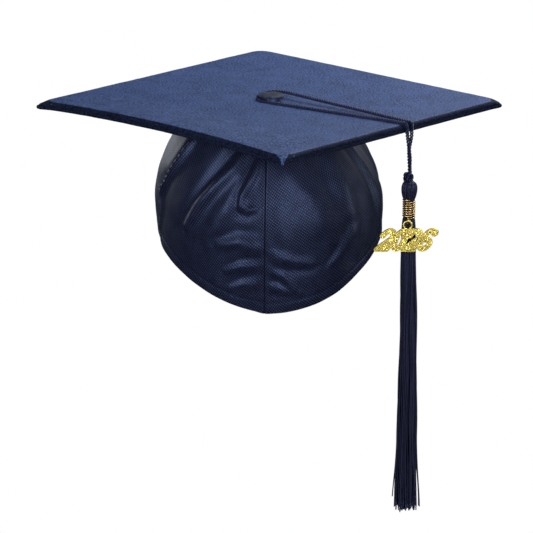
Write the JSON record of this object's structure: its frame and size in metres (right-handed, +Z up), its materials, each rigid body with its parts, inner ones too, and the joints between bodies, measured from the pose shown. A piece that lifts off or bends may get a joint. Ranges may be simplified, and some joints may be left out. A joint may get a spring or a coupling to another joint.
{
  "type": "graduation cap",
  "caption": "Mortarboard graduation cap: square satin board on a sewn skullcap with elastic back, button, twisted cord, thread tassel and date charm.",
  "frame": {"origin": "on the button's axis, at the height where the skullcap's rim crosses its left and right sides", "axes": "+Z up through the button, -Y the wearer's face side, board corners on the X and Y axes"},
  "size_m": [0.338, 0.338, 0.2989],
  "materials": {
    "board_satin": "satin",
    "board_card": "matte",
    "twill": "satin",
    "elastic": "ribbed",
    "steel": "satin",
    "interfacing": "matte",
    "adhesive": "satin",
    "cord": "satin",
    "tassel_thread": "satin",
    "gold_wire": "polished",
    "gold": "polished",
    "glitter": "glitter"
  },
  "bodies": {
    "cap": {"board_core": "board_card", "board_top_cover": "board_satin", "board_bottom_cover": "board_satin", "skullcap_left": "twill", "skullcap_right": "twill", "hem_left": "twill", "hem_right": "twill", "elastic_band": "elastic", "elastic_casing": "twill", "front_seam_binding": "twill", "back_seam_binding": "twill", "button_cover": "board_satin", "button_shell": "steel", "button_back": "steel", "button_prong": "steel", "crown_adhesive": "adhesive", "crown_interfacing": "interfacing", "prong_washer": "steel", "prong_pad": "interfacing"},
    "cord_on_board": {"cord_loop": "cord"},
    "cord_drop": {"cord_drop_back": "cord", "cord_drop_front": "cord"},
    "tassel": {"tassel_knot": "cord", "cord_tails": "cord", "anchor_knot": "cord", "tassel_head": "tassel_thread", "neck_binding": "tassel_thread", "tassel_skirt": "tassel_thread"},
    "coil": {"neck_coil": "gold_wire", "coil_hook": "gold_wire"},
    "charm": {"charm_digits": "gold", "charm_glitter": "glitter"}
  },
  "joints": [
    {"name": "tassel_turn", "type": "hinge", "parent": "cap", "child": "cord_on_board", "pos_m": [0, 0, 0.092], "axis": [0, 0, 1], "continuous": true, "deforming": ["cord_loop", "cord_drop_back", "cord_drop_front"]},
    {"name": "cord_swing", "type": "hinge", "parent": "cord_on_board", "child": "cord_drop", "pos_m": [0.0962, -0.07725, 0.0908], "axis": [-0.7071, -0.7071, 0], "range_deg": [-8, 75], "deforming": ["cord_loop", "cord_drop_back", "cord_drop_front"]},
    {"name": "tassel_swing", "type": "hinge", "parent": "cord_drop", "child": "tassel", "pos_m": [0.09709, -0.07757, 0.055], "axis": [0.7071, -0.7071, 0], "range_deg": [-30, 30], "deforming": ["cord_drop_back", "cord_drop_front"]},
    {"name": "coil_turn", "type": "hinge", "parent": "tassel", "child": "coil", "pos_m": [0.09702, -0.07764, 0.03], "axis": [0, 0, 1], "continuous": true},
    {"name": "charm_swing", "type": "hinge", "parent": "coil", "child": "charm", "pos_m": [0.09562, -0.08604, 0.0224], "axis": [-1, 0, 0], "range_deg": [0, 70]}
  ]
}
